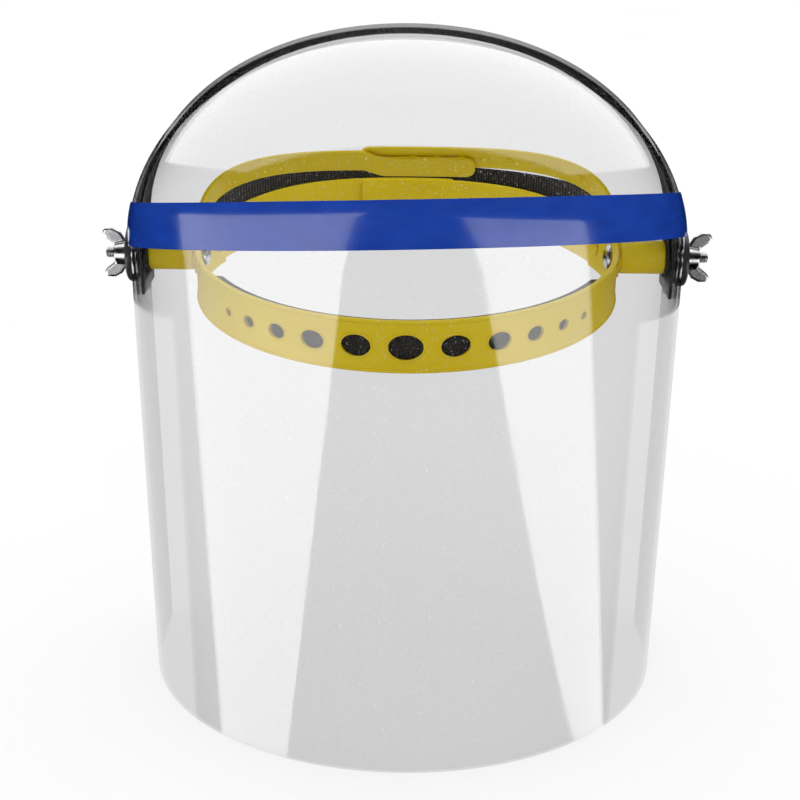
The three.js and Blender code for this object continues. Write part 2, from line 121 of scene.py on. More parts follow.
NAPE_THICKNESS = 1.8
NAPE_START = 21
NAPE_LAP = radians(12)
NAPE_REAR = 90
NAPE_RIM = 0.525
NAPE_RIM_INSET = 0.03
ELASTIC_THICKNESS = 1.2
ELASTIC_EDGE = 0.25
ELASTIC_HEIGHT = 28
ELASTIC_TOP = 20
ELASTIC_HALF_ANGLE = radians(78)
ELASTIC_FULL_HEIGHT = 54  # how far back it reaches its full height
SELVEDGE = 0.25
SELVEDGE_SHARE = 0.15  # of the half height

STRAP_THICKNESS = 1.4
STRAP_WIDTH = 15
STRAP_END_WIDTH = 11
STRAP_REACH = 53.2
STRAP_POWER = 3.6
STRAP_FOLD = radians(44)
STRAP_OVERRUN = radians(4.5)
STRAP_LAP_RIGHT = radians(22)
STRAP_LAP_LEFT = radians(32)
TONGUE_DROP = 5
TONGUE_START = radians(66)
TONGUE_LEVEL = radians(78)
STRAP_ROUND_END = radians(4)
STRAP_TIP = 0.4  # its width at the very end, as a share
STRAP_WIDENING = radians(30)
STRAP_RIM = 0.5
STRAP_RIM_INSET = 0.05
STUD_START = radians(28)
STUD_PITCH = 12
STUD_RADIUS = 1.9
STUD_HEIGHT = 0.8
STUD_SINK = 0.3  # how far its foot goes into the strap
STUD_SHOULDER = 0.48  # height at which its top starts to slope in
STUD_TOP = 0.65  # its top's radius, as a share

BOLT_RADIUS = 2.5
BORE_RADIUS = 2.8
BORE_MARGIN = 5  # how far the cutting tool goes past a piece
BOLT_HEAD_RADIUS = 6
BOLT_HEAD = 3
BOLT_HEAD_SWEEP = radians(84)
BOLT_HEAD_FULLNESS = 0.8
BOLT_END = 136
THREAD_START = 120
THREAD_PITCH = 0.8
THREAD_DEPTH = 0.4
THREAD_RUN_OUT = 0.8
THREAD_CHAMFER = 0.5
SPACER_RADIUS = 7.5
SPACER_EDGE = 0.6
FRICTION_RADIUS = 9
FRICTION_THICKNESS = 1.5
FRICTION_EDGE = 0.3
WASHER_RADIUS = 13
WASHER_THICKNESS = 4
WASHER_EDGE = 1.2
NUT_HUB_BASE = 5.5
NUT_HUB_TOP = 4.5
NUT_HUB_HEIGHT = 6
WING_SPAN = 11.5
WING_HEIGHT = 11.5
WING_THICKNESS = 1.8
WING_EDGE = 0.5
CAST_GRAIN = 0.3  # size of the voxels that melt the hub and wings together

RIVET_Y = 27.5
RIVET_HEAD = 4
RIVET_BACK = 2.4
RIVET_FRONT = 4.2
RIVET_HEAD_THICKNESS = 1.4

STRAP_FACE = BAND_HALF_WIDTH + GAP + STRAP_THICKNESS
SPACER_INNER = STRAP_FACE + GAP
BOLT_FACE = BAND_HALF_WIDTH - BAND_THICKNESS - GAP
FRICTION_FACE = VISOR_HALF_WIDTH - SHEET - STRIP_THICKNESS - 2 * GAP
SPACER_FACE = FRICTION_FACE - FRICTION_THICKNESS - GAP
WASHER_FACE = VISOR_HALF_WIDTH + GAP
NUT_FACE = WASHER_FACE + WASHER_THICKNESS + GAP
NAPE_OUTER = BAND_HALF_WIDTH + GAP + NAPE_THICKNESS
ELASTIC_HALF_WIDTH = NAPE_OUTER + GAP + ELASTIC_THICKNESS
ELASTIC_REAR = NAPE_REAR + GAP + ELASTIC_THICKNESS

SIDES = {"left": -1, "right": 1}
SHARP = radians(38)  # edges sharper than this stay crisp
ROUNDED = radians(50)  # edges sharper than this are rounded
SLOPE_STEP = 0.002  # angle over which a band's slope is taken
STRAP_SLOPE_STEP = 0.01


def lerp(a, b, t):
    return a + (b - a) * t


def smoothstep(value, low, high):
    t = min(1, max(0, (value - low) / (high - low)))
    return t * t * (3 - 2 * t)


def signed_power(value, power):
    return copysign(abs(value) ** power, value)


def spaced(start, end, count):
    return [lerp(start, end, i / count) for i in range(count + 1)]


# ---- Mesh making ----


def add_object(name, points, faces):
    """A smooth object from points in millimetres from the pivot, welded where they meet."""
    mesh = bpy.data.meshes.new(name)
    mesh.from_pydata([PIVOT + Vector(point) * MM for point in points], [], faces)
    bm = bmesh.new()
    bm.from_mesh(mesh)
    bmesh.ops.remove_doubles(bm, verts=bm.verts, dist=WELD * MM)
    bm.to_mesh(mesh)
    bm.free()
    mesh.shade_smooth()
    obj = bpy.data.objects.new(name, mesh)
    bpy.context.scene.collection.objects.link(obj)
    return obj


def settle(obj):
    """Applies the modifiers, and keeps the sharp edges crisp."""
    bpy.context.view_layer.update()
    evaluated = obj.evaluated_get(bpy.context.evaluated_depsgraph_get())
    mesh = bpy.data.meshes.new_from_object(evaluated)
    obj.modifiers.clear()
    obj.data = mesh
    mesh.shade_smooth()
    mesh.set_sharp_from_angle(angle=SHARP)
    return obj


def thicken(obj, thickness, rounding=0.0, rim_material=0):
    """Gives an open surface its thickness on the inside, with rounded edges."""
    solidify = obj.modifiers.new("thickness", "SOLIDIFY")
    solidify.thickness = thickness * MM
    solidify.offset = -1
    solidify.use_even_offset = False
    solidify.material_offset_rim = rim_material
    if rounding:
        round_edges(obj, rounding)
    return obj


def round_edges(obj, radius):
    bevel = obj.modifiers.new("rounding", "BEVEL")
    bevel.width = radius * MM
    bevel.segments = 2
    bevel.limit_method = "ANGLE"
    bevel.angle_limit = ROUNDED


def join(name, parts):
    """One object from several lists of points and faces."""
    points = []
    faces = []
    for part_points, part_faces in parts:
        base = len(points)
        points += part_points
        faces += [[base + index for index in face] for face in part_faces]
    return add_object(name, points, faces)


def grid(columns, rows, point_at):
    """Points and faces of a surface that faces the side where columns x rows points."""
    points = [point_at(i / columns, j / rows) for i in range(columns + 1) for j in range(rows + 1)]
    faces = []
    for i in range(columns):
        for j in range(rows):
            a = i * (rows + 1) + j
            b = a + rows + 1
            faces.append((a, b, b + 1, a + 1))
    return points, faces


def turned(profile, segments=48):
    """A closed turned piece with its axis along +X, from pairs of (x, radius)."""
    points = []
    faces = []
    count = len(profile)
    for i in range(segments):
        angle = 2 * pi * i / segments
        points += [(x, -radius * sin(angle), radius * cos(angle)) for x, radius in profile]
    for i in range(segments):
        for j in range(count - 1):
            a = i * count + j
            b = (i + 1) % segments * count + j
            corners = [a, b, b + 1, a + 1]
            if profile[j][1] == 0:
                corners.remove(b)
            if profile[j + 1][1] == 0:
                corners.remove(b + 1)
            faces.append(corners)
    return points, faces


def reversed_faces(faces):
    return [list(reversed(face)) for face in faces]


def moved(part, along, side):
    """Shifts a part along +X, then turns it half round for the left side."""
    points, faces = part
    return [(side * (x + along), side * y, z) for x, y, z in points], faces


def bead(path, outward, radius, closed=False, sides=8):
    """A round bead along a path, given the outward direction at each of its points."""
    count = len(path)
    points = []
    for i in range(count):
        before = path[i - 1] if closed or i else path[0]
        after = path[(i + 1) % count] if closed or i < count - 1 else path[-1]
        out = Vector(outward[i]).normalized()
        across = (Vector(after) - Vector(before)).normalized().cross(out)
        for k in range(sides):
            angle = 2 * pi * k / sides
            points.append(tuple(Vector(path[i]) + (out * cos(angle) + across * sin(angle)) * radius))
    faces = []
    for i in range(count if closed else count - 1):
        for k in range(sides):
            a = i * sides
            b = (i + 1) % count * sides
            faces.append((a + k, a + (k + 1) % sides, b + (k + 1) % sides, b + k))
    if not closed:
        faces.append(list(range(sides)))
        faces.append([(count - 1) * sides + sides - 1 - k for k in range(sides)])
    return points, faces


def pierced_strip(place_at, cells, rows=8, steps=8, rings=3):
    """A strip in (along, height) from 0 to 1, as a row of cells, some with an oval hole.

    A cell is (start, end, hole), and a hole is (along, height, half length, half height).
    """
    points = []
    faces = []
    for start, end, hole in cells:
        base = len(points)
        if hole is None:
            cell = grid(steps, rows, lambda u, v: place_at(lerp(start, end, u), v))
            points += cell[0]
            faces += [[base + index for index in face] for face in cell[1]]
            continue
        border = [(lerp(start, end, i / steps), 0) for i in range(steps)]
        border += [(end, j / rows) for j in range(rows)]
        border += [(lerp(end, start, i / steps), 1) for i in range(steps)]
        border += [(start, 1 - j / rows) for j in range(rows)]
        for ring in range(rings + 1):
            for along, height in border:
                x, y = hole_edge(hole, (along - hole[0]) / (end - start), height - hole[1])
                t = ring / rings
                points.append(place_at(lerp(x, along, t), lerp(y, height, t)))
        count = len(border)
        for ring in range(rings):
            for k in range(count):
                a = base + ring * count
                b = a + count
                faces.append((a + k, b + k, b + (k + 1) % count, a + (k + 1) % count))
    return points, faces


def hole_edge(hole, across, up):
    """The point of an oval hole's edge in the direction of (across, up) from its middle."""
    angle = atan2(up, across)
    return hole[0] + hole[2] * cos(angle), hole[1] + hole[3] * sin(angle)


def bore(obj, half_width):
    """Cuts the pivot's bore through both sides of a piece."""
    reach = half_width + BORE_MARGIN
    profile = [(-reach, 0), (-reach, BORE_RADIUS), (reach, BORE_RADIUS), (reach, 0)]
    tool = join("bore_tool", [turned(profile, 32)])
    boolean = obj.modifiers.new("bore", "BOOLEAN")
    boolean.operation = "DIFFERENCE"
    boolean.solver = "EXACT"
    boolean.object = tool
    settle(obj)
    bpy.data.objects.remove(tool)
    return obj


# ---- Materials ----


class Finish:
    """A material's node tree, with short calls to add and join nodes."""

    def __init__(self, name):
        self.material = bpy.data.materials.new(name)
        self.material.use_nodes = True
        self.tree = self.material.node_tree
        self.tree.nodes.clear()
        self.output = self.add("OutputMaterial")
        self.place = self.add("TexCoord").outputs["Object"]

    def add(self, kind, settings=None, **sockets):
        node = self.tree.nodes.new("ShaderNode" + kind)
        for name, value in (settings or {}).items():
            setattr(node, name, value)
        for name, value in sockets.items():
            self.feed(node.inputs[name.replace("_", " ")], value)
        return node

    def feed(self, socket, value):
        if isinstance(value, bpy.types.NodeSocket):
            self.tree.links.new(value, socket)
        else:
            socket.default_value = value

    def noise(self, scale, detail=4, stretch=None):
        """Noise in metres of the object's own frame, as a factor around 0.5."""
        place = self.place
        if stretch:
            mapping = self.add("Mapping", Vector=place, Scale=stretch)
            place = mapping.outputs["Vector"]
        noise = self.add("TexNoise", Vector=place, Scale=scale, Detail=detail)
        return noise.outputs["Fac"]

    def ramp(self, factor, *stops):
        """Pairs of (position, value or colour)."""
        node = self.add("ValToRGB", Fac=factor)
        elements = node.color_ramp.elements
        while len(elements) < len(stops):
            elements.new(0.5)
        for element, (position, value) in zip(elements, stops):
            element.position = position
            element.color = (*value, 1) if isinstance(value, tuple) else (value, value, value, 1)
        return node.outputs["Color"]

    def math(self, operation, first, second=0.0):
        node = self.add("Math", {"operation": operation})
        self.feed(node.inputs[0], first)
        self.feed(node.inputs[1], second)
        return node.outputs[0]

    def bump(self, height, strength, distance):
        return self.add("Bump", Height=height, Strength=strength, Distance=distance).outputs["Normal"]

    def finish(self, shader):
        self.tree.links.new(shader, self.output.inputs["Surface"])
        return self.material


def clear_sheet(name, tint, reflect, haze):
    """A clear plastic sheet: what lies behind shows through it, and it shines more at a glance."""
    f = Finish(name)
    smear = f.noise(9, 5, (1, 1, 2.5))
    scratch = f.noise(240, 6, (1, 1, 0.12))
    facing = f.add("LayerWeight", Blend=0.5).outputs["Facing"]
    grazing = f.math("POWER", facing, 5.0)
    gloss = f.math("ADD", f.math("MULTIPLY", grazing, 1 - reflect), reflect)
    through = f.add("BsdfTransparent", Color=tint)
    normal = f.bump(scratch, 0.05, 0.0002)
    shine = f.add("BsdfGlossy", Color=(1, 1, 1, 1), Roughness=f.ramp(smear, (0.35, 0.03), (0.75, 0.09)))
    f.feed(shine.inputs["Normal"], normal)
    clean = f.add("MixShader", Fac=gloss)
    f.feed(clean.inputs[1], through.outputs[0])
    f.feed(clean.inputs[2], shine.outputs[0])
    dust = f.add("BsdfDiffuse", Color=(0.95, 0.96, 0.97, 1))
    specks = f.ramp(f.noise(1400, 2), (0.66, haze), (0.74, 0.3))
    dusty = f.add("MixShader", Fac=specks)
    f.feed(dusty.inputs[1], clean.outputs[0])
    f.feed(dusty.inputs[2], dust.outputs[0])
    return f.finish(dusty.outputs[0])


def moulded_plastic(name, colour, deep, roughness, grain, coat=0.0):
    """Moulded plastic: faint flow marks in the colour, and a fine orange-peel grain."""
    f = Finish(name)
    flow = f.ramp(f.noise(28, 5), (0.3, deep), (0.7, colour))
    wear = f.ramp(f.noise(160, 6), (0.35, roughness - 0.07), (0.7, roughness + 0.1))
    fine = f.math("ADD", f.noise(900, 3), f.math("MULTIPLY", f.noise(120, 2), 0.6))
    shader = f.add("BsdfPrincipled", Base_Color=flow, Roughness=wear)
    shader.inputs["IOR"].default_value = 1.45
    shader.inputs["Coat Weight"].default_value = coat
    shader.inputs["Coat Roughness"].default_value = 0.12
    f.feed(shader.inputs["Normal"], f.bump(fine, grain, 0.00012))
    return f.finish(shader.outputs[0])


def printed_film(name):
    """A plain glossy blue film: faintly uneven ink and a slight waviness."""
    f = Finish(name)
    ink = f.ramp(f.noise(60, 4, (1, 1, 3)), (0.3, (0.006, 0.034, 0.25)), (0.7, (0.008, 0.045, 0.32)))
    shader = f.add("BsdfPrincipled", Base_Color=ink, Roughness=f.ramp(f.noise(90), (0.3, 0.12), (0.7, 0.2)))
    shader.inputs["Coat Weight"].default_value = 0.4
    shader.inputs["Coat Roughness"].default_value = 0.06
    f.feed(shader.inputs["Normal"], f.bump(f.noise(70, 2), 0.12, 0.0004))
    return f.finish(shader.outputs[0])


def open_foam(name):
    """Black foam: round cells of two sizes; the colour is painted shade, darker in each cell's pit, and a
    painted highlight, lighter at its rim.
    """
    f = Finish(name)
    cells = f.add("TexVoronoi", {"feature": "F1"}, Vector=f.place, Scale=1500.0).outputs["Distance"]
    # Painted shade and highlight: the colour is darkest at each cell's middle, where its pit lies, and
    # lighter towards its rim.
    shade = f.ramp(cells, (0.1, (0.006, 0.006, 0.006)), (0.6, (0.035, 0.035, 0.036)))
    shader = f.add("BsdfPrincipled", Base_Color=shade, Roughness=0.95)
    shader.inputs["Sheen Weight"].default_value = 0.25
    height = f.math("ADD", cells, f.math("MULTIPLY", f.noise(200, 4), 0.8))
    f.feed(shader.inputs["Normal"], f.bump(height, 0.7, 0.0006))
    return f.finish(shader.outputs[0])


def woven_elastic(name):
    """Black knitted elastic: upright ribs crossed by fine courses, with painted shade in the hollows
    between them.
    """
    f = Finish(name)
    ribs = f.add("TexWave", {"bands_direction": "X"}, Vector=f.place, Scale=260.0, Distortion=0.4)
    courses = f.add("TexWave", {"bands_direction": "Z"}, Vector=f.place, Scale=420.0, Distortion=0.6)
    weave = f.math("MULTIPLY", ribs.outputs["Fac"], courses.outputs["Fac"])
    # Painted shade: the colour follows the weave's height, darker in the hollows and lighter on the crowns
    # of the ribs.
    shade = f.ramp(weave, (0.05, (0.008, 0.008, 0.009)), (0.8, (0.045, 0.045, 0.05)))
    shader = f.add("BsdfPrincipled", Base_Color=shade, Roughness=0.85)
    shader.inputs["Sheen Weight"].default_value = 0.35
    f.feed(shader.inputs["Normal"], f.bump(weave, 0.8, 0.0004))
    return f.finish(shader.outputs[0])


def zinc_steel(name):
    """Zinc-plated metal: bright, with a fine cast grain and duller patches."""
    f = Finish(name)
    patches = f.noise(330, 5)
    colour = f.ramp(patches, (0.3, (0.68, 0.69, 0.7)), (0.7, (0.92, 0.93, 0.94)))
    shader = f.add("BsdfPrincipled", Base_Color=colour, Roughness=f.ramp(patches, (0.3, 0.38), (0.7, 0.2)))
    shader.inputs["Metallic"].default_value = 1
    f.feed(shader.inputs["Normal"], f.bump(f.noise(1800, 3), 0.15, 0.0001))
    return f.finish(shader.outputs[0])


CLEAR = clear_sheet("clear_sheet", tint=(0.868, 0.868, 0.872, 1), reflect=0.05, haze=0.0)
CLEAR_EDGE = clear_sheet("clear_sheet_edge", tint=(0.8, 0.86, 0.88, 1), reflect=0.3, haze=0.35)
BLUE = printed_film("blue_film")
PALE_EDGE = moulded_plastic(
    "film_edge", colour=(0.75, 0.8, 0.86), deep=(0.62, 0.7, 0.8), roughness=0.3, grain=0.05
)
BLACK = moulded_plastic(
    "black_plastic",
    colour=(0.032, 0.032, 0.037),
    deep=(0.02, 0.02, 0.024),
    roughness=0.36,
    grain=0.12,
    coat=0.3,
)
YELLOW = moulded_plastic(
    "yellow_plastic", colour=(0.93, 0.72, 0.004), deep=(0.88, 0.65, 0.003), roughness=0.4, grain=0.2
)
FOAM = open_foam("black_foam")
ELASTIC = woven_elastic("black_elastic")
RUBBER = moulded_plastic(
    "black_rubber", colour=(0.03, 0.03, 0.03), deep=(0.014, 0.014, 0.014), roughness=0.7, grain=0.5
)
ZINC = zinc_steel("zinc_steel")


def dress(obj, node, body, slot, *materials):
    """Puts a finished piece in place of its CAD node."""
    obj.data.materials.clear()
    for material in materials:
        obj.data.materials.append(material)
    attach(obj, body)
    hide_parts(node)
    return obj


# ---- Visor ----


def arch_height(x):
    side = min(1, abs(x) / VISOR_HALF_WIDTH)
    return ARCH_BASE + (ARCH_TOP - ARCH_BASE) * (1 - side**ARCH_POWER) ** (1 / ARCH_POWER)


def visor_plan(u):
    angle = pi * u
    return -VISOR_HALF_WIDTH * cos(angle), HOOP_FRONT + (VISOR_FRONT - HOOP_FRONT) * sin(angle)


def dome_point(u, t):
    """A point of the dome, on a curve that leaves the wall upright and meets the arch level."""
    x, wall_y = visor_plan(u)
    top = arch_height(x)
    foot = lerp(ARCH_BASE, top, SHOULDER)
    corners = [
        (wall_y, foot),
        (wall_y, lerp(foot, top, DOME_RISE)),
        (lerp(HOOP_FRONT, wall_y, DOME_LEVEL), top),
        (HOOP_FRONT, top),
    ]
    weights = [(1 - t) ** 3, 3 * t * (1 - t) ** 2, 3 * t * t * (1 - t), t**3]
    y = sum(weight * corner[0] for weight, corner in zip(weights, corners))
    z = sum(weight * corner[1] for weight, corner in zip(weights, corners))
    return x, y, z


def wall_point(u, v):
    x, y = visor_plan(u)
    return x, y, lerp(VISOR_BOTTOM, lerp(ARCH_BASE, arch_height(x), SHOULDER), v)


def hoop_point(u, v):
    x, _ = visor_plan(u)
    return x, lerp(HOOP_FRONT, HOOP_REAR, v), arch_height(x)


def visor_surface(name):
    """The outer face of the visor: wall, dome, arch and the two straight side walls."""
    columns = 144
    wall_rows = 12
    dome_rows = 28
    hoop_rows = 4

    def side_point(side):
        def point(u, v):
            y = lerp(HOOP_FRONT, HOOP_REAR, u if side > 0 else 1 - u)
            return side * VISOR_HALF_WIDTH, y, lerp(VISOR_BOTTOM, ARCH_BASE, v)

        return point

    parts = [grid(columns, wall_rows, wall_point)]
    parts.append(grid(columns, dome_rows, dome_point))
    parts.append(grid(columns, hoop_rows, hoop_point))
    parts += [grid(hoop_rows, wall_rows, side_point(side)) for side in (-1, 1)]
    return join(name, parts)


def make_visor():
    visor = thicken(visor_surface("visor_sheet"), SHEET, rim_material=1)
    bore(visor, VISOR_HALF_WIDTH)
    return dress(visor, "visor_shell", "visor", "clear_sheet", CLEAR, CLEAR_EDGE)


def make_label():
    """A plain band of film between two sloping planes, with a thin pale edge."""
    label = visor_surface("visor_label_film")
    slope = atan((LABEL_FRONT_Z - LABEL_SIDE_Z) / -VISOR_FRONT)
    up = Vector((-sin(LABEL_TILT) * cos(slope), sin(slope), cos(LABEL_TILT) * cos(slope)))
    bm = bmesh.new()
    bm.from_mesh(label.data)
    for vert in bm.verts:
        vert.co += vert.normal * (GAP + FILM) * MM

    def split(place, outwards, clear):
        """Cuts all faces along a plane, and clears what lies beyond it if asked to."""
        bmesh.ops.bisect_plane(
            bm,
            geom=bm.verts[:] + bm.edges[:] + bm.faces[:],
            plane_co=PIVOT + Vector(place) * MM,
            plane_no=outwards,
            clear_outer=clear,
        )

    bottom = LABEL_SIDE_Z - LABEL_HEIGHT
    split((0, 0, LABEL_SIDE_Z), up, True)
    split((0, 0, bottom), -up, True)
    split((0, 0, LABEL_SIDE_Z - LABEL_EDGE), up, False)
    split((0, 0, bottom + LABEL_EDGE), up, False)
    split((0, LABEL_REAR, 0), (0, 1, 0), True)
    middle = LABEL_SIDE_Z - LABEL_HEIGHT / 2
    half = LABEL_HEIGHT / 2 - LABEL_EDGE
    for face in bm.faces:
        centre = (face.calc_center_median() - PIVOT) / MM
        level = centre.dot(up) / up.z
        face.material_index = 1 if abs(level - middle) > half else 0
    bm.to_mesh(label.data)
    bm.free()
    settle(thicken(label, FILM))
    return dress(label, "visor_label", "visor", "blue_film", BLUE, PALE_EDGE)


def make_crown_strip():
    """A flat strip bent inside the arch, with straight legs down past the pivots."""
    inset = SHEET + GAP
    leg_x = VISOR_HALF_WIDTH - inset
    leg_steps = 4
    arch_steps = 160
    line = [(-leg_x, z) for z in spaced(STRIP_END, ARCH_BASE, leg_steps)]
    across = [-VISOR_HALF_WIDTH * cos(angle) for angle in spaced(0, pi, arch_steps)]
    arch = [(x, arch_height(x)) for x in across]
    for before, point, after in zip(arch, arch[1:], arch[2:]):
        along = (after[0] - before[0], after[1] - before[1])
        length = hypot(*along)
        line.append((point[0] + along[1] / length * inset, point[1] - along[0] / length * inset))
    line += [(leg_x, z) for z in spaced(ARCH_BASE, STRIP_END, leg_steps)]
    last = len(line) - 1

    def point_at(u, v):
        x, z = line[round(u * last)]
        return x, lerp(HOOP_FRONT + STRIP_MARGIN, HOOP_REAR - STRIP_MARGIN, v), z

    strip = thicken(join("crown_strip_moulding", [grid(last, 6, point_at)]), STRIP_THICKNESS, STRIP_EDGE)
    bore(strip, VISOR_HALF_WIDTH)
    return dress(strip, "crown_strip", "visor", "black_plastic", BLACK)


# ---- Headband ----


def ring_point(angle, half_width, front, rear):
    c = cos(angle)
    s = sin(angle)
    power = 1 if s < 0 else 2 / BAND_REAR_POWER
    depth = front if s < 0 else rear
    return half_width * signed_power(c, power), depth * signed_power(s, power)


def band_top(y):
    rise = BAND_RISE * (y + BAND_FRONT) / (BAND_FRONT + NAPE_REAR)
    return BAND_FRONT_TOP + rise + NAPE_LIFT * smoothstep(y, BROW_END, NAPE_REAR)


def rear_angle(y, rear):
    return asin((y / rear) ** (BAND_REAR_POWER / 2))


class Ring:
    """An oval band's outer face, by angle from +X and height from 0 to 1."""

    def __init__(self, half_width, front, rear, margin=0.0):
        self.sizes = (half_width, front, rear)
        self.margin = margin

    def span(self, y):
        return band_top(y) - BAND_HEIGHT + self.margin, band_top(y) - self.margin

    def point(self, angle, height, outwards=0.0):
        x, y = ring_point(angle, *self.sizes)
        low, high = self.span(y)
        out = self.outward(angle)
        return x + out[0] * outwards, y + out[1] * outwards, lerp(low, high, height)

    def run(self, angle):
        """How far the ring goes in x and y over two slope steps."""
        x0, y0 = ring_point(angle - SLOPE_STEP, *self.sizes)
        x1, y1 = ring_point(angle + SLOPE_STEP, *self.sizes)
        return x1 - x0, y1 - y0

    def outward(self, angle):
        x, y = self.run(angle)
        length = hypot(x, y)
        return y / length, -x / length, 0

    def speed(self, angle):
        """Millimetres per radian."""
        return hypot(*self.run(angle)) / (2 * SLOPE_STEP)

    def edge_bead(self, start, end, height, radius, count):
        angles = spaced(start, end, count)
        path = [self.point(angle, height, -BEAD_SINK) for angle in angles]
        return bead(path, [self.outward(angle) for angle in angles], radius)

    def hole_bead(self, hole, radius):
        count = 40
        path = []
        outward = []
        for k in range(count):
            turn = 2 * pi * k / count
            angle = hole[0] + hole[2] * cos(turn)
            path.append(self.point(angle, hole[1] + hole[3] * sin(turn)))
            outward.append(self.outward(angle))
        return bead(path, outward, radius, closed=True)


def cells_between(start, end, holes, longest):
    """Cells from start to end, one round each hole, and plain ones elsewhere."""
    cells = []
    at = start
    for i, hole in enumerate(holes):
        before = (holes[i - 1][0] + hole[0]) / 2 if i else hole[0] - 2 * hole[2]
        after = (hole[0] + holes[i + 1][0]) / 2 if i < len(holes) - 1 else hole[0] + 2 * hole[2]
        cells += plain_cells(at, before, longest)
        cells.append((before, after, hole))
        at = after
    return cells + plain_cells(at, end, longest)


def plain_cells(start, end, longest):
    """Cells without a hole, none much longer than asked."""
    if end - start < 1e-6:
        return []
    count = max(1, round((end - start) / longest))
    edges = spaced(start, end, count)
    return [(a, b, None) for a, b in zip(edges, edges[1:])]


def brow_holes(ring):
    """Ovals that get smaller towards the sides."""
    holes = []
    for i in range(-HOLES_PER_SIDE, HOLES_PER_SIDE + 1):
        part = abs(i) / HOLES_PER_SIDE
        angle = HOLE_SPREAD * i / HOLES_PER_SIDE * lerp(HOLE_CROWDING, 1, part) - pi / 2
        width = lerp(HOLE_WIDTH, LAST_HOLE_WIDTH, part)
        height = lerp(HOLE_HEIGHT, LAST_HOLE_HEIGHT, part)
        holes.append((angle, 0.5, width / 2 / ring.speed(angle), height / 2 / BAND_HEIGHT))
    return holes


def make_brow_band():
    ring = Ring(BAND_HALF_WIDTH, BAND_FRONT, BAND_REAR)
    end = rear_angle(BROW_END, BAND_REAR)
    start = -pi - end
    holes = brow_holes(ring)
    strip = pierced_strip(ring.point, cells_between(start, end, holes, radians(12)))
    band = thicken(join("brow_band_moulding", [strip]), BAND_THICKNESS, MOULDED_EDGE)
    bore(band, BAND_HALF_WIDTH)
    rims = [ring.edge_bead(start, end, height, RIM, 120) for height in (RIM_INSET, 1 - RIM_INSET)]
    rims += [ring.hole_bead(hole, HOLE_RIM) for hole in holes]
    add_trim(band, rims)
    return dress(band, "brow_band", "headband", "yellow_plastic", YELLOW)


def add_trim(obj, parts):
    """Adds raised rims or studs to a piece's own mesh."""
    trim = join("trim", parts)
    bm = bmesh.new()
    bm.from_mesh(obj.data)
    bm.from_mesh(trim.data)
    for face in bm.faces:
        face.smooth = True
    bm.to_mesh(obj.data)
    bm.free()
    bpy.data.objects.remove(trim)
    obj.data.set_sharp_from_angle(angle=SHARP)


def make_sweatband():
    """Foam with soft edges, inside the front of the band."""
    inset = BAND_THICKNESS + GAP
    ring = Ring(BAND_HALF_WIDTH - inset, BAND_FRONT - inset, BAND_REAR - inset, FOAM_EDGE)
    start = -pi / 2 - FOAM_HALF_ANGLE
    end = -pi / 2 + FOAM_HALF_ANGLE
    section_steps = 36
    length_steps = 150

    def point_at(u, v):
        angle = lerp(start, end, v)
        end_taper = min(1, FOAM_END + FOAM_END_SLOPE * min(v, 1 - v)) ** 0.5
        turn = -2 * pi * u
        depth = signed_power(cos(turn), FOAM_FULLNESS) * FOAM_THICKNESS / 2 * end_taper
        height = 0.5 + signed_power(sin(turn), FOAM_SQUARENESS) / 2 * end_taper
        puff = FOAM_PUFF_DEPTH * abs(sin(angle * FOAM_PUFFS) * sin(height * FOAM_PUFF_ROWS))
        return ring.point(angle, height, -FOAM_THICKNESS / 2 + depth * (1 - puff))

    points, faces = grid(section_steps, length_steps, point_at)
    rows = length_steps + 1
    faces.append([i * rows for i in range(section_steps)])
    faces.append([i * rows + rows - 1 for i in reversed(range(section_steps))])
    foam = settle(join("brow_sweatband_foam", [(points, faces)]))
    dress(foam, "brow_sweatband", "headband", "black_foam", FOAM)
    return foam


def nape_ring(side):
    rear = NAPE_REAR - NAPE_THICKNESS - 2 * GAP if side > 0 else NAPE_REAR
    return Ring(NAPE_OUTER, BAND_FRONT, rear)


def make_nape_band(name, side):
    """One of two plain straps that lap at the rear."""
    ring = nape_ring(side)
    first = rear_angle(NAPE_START, ring.sizes[2])
    last = pi / 2 + NAPE_LAP
    start, end = (first, last) if side > 0 else (pi - last, pi - first)
    strip = pierced_strip(ring.point, plain_cells(start, end, radians(10)))
    band = settle(thicken(join(f"nape_band_{name}_moulding", [strip]), NAPE_THICKNESS, MOULDED_EDGE))
    heights = (NAPE_RIM_INSET, 1 - NAPE_RIM_INSET)
    add_trim(band, [ring.edge_bead(start, end, height, NAPE_RIM, 90) for height in heights])
    return dress(band, f"nape_band_{name}", "headband", "yellow_plastic", YELLOW)


class ElasticRing(Ring):
    """The elastic stands higher than the bands at the rear and is level with them in front."""

    def span(self, y):
        high = lerp(band_top(RIVET_Y), ELASTIC_TOP, smoothstep(y, NAPE_START, ELASTIC_FULL_HEIGHT))
        return max(high - ELASTIC_HEIGHT, band_top(y) - BAND_HEIGHT), high


def make_elastic():
    """A knitted band with a rolled selvedge along both edges."""
    ring = ElasticRing(ELASTIC_HALF_WIDTH, BAND_FRONT, ELASTIC_REAR)
    start = pi / 2 - ELASTIC_HALF_ANGLE
    end = pi / 2 + ELASTIC_HALF_ANGLE
    columns = 180
    rows = 20

    def point_at(u, v):
        into_selvedge = max(0, abs(2 * v - 1) - 1 + SELVEDGE_SHARE) / SELVEDGE_SHARE
        return ring.point(lerp(start, end, u), v, SELVEDGE * into_selvedge)

    elastic = join("nape_elastic_band", [grid(columns, rows, point_at)])
    settle(thicken(elastic, ELASTIC_THICKNESS, ELASTIC_EDGE))
    dress(elastic, "nape_elastic", "headband", "black_elastic", ELASTIC)
    angles = spaced(start, end, columns)
    pieces = [(ring.speed((a + b) / 2) * (b - a), (a + b) / 2) for a, b in zip(angles, angles[1:])]
    area = sum(piece * height_of(ring, angle) for piece, angle in pieces)
    return elastic


def height_of(ring, angle):
    low, high = ring.span(ring_point(angle, *ring.sizes)[1])
    return high - low


# ---- Crown straps ----


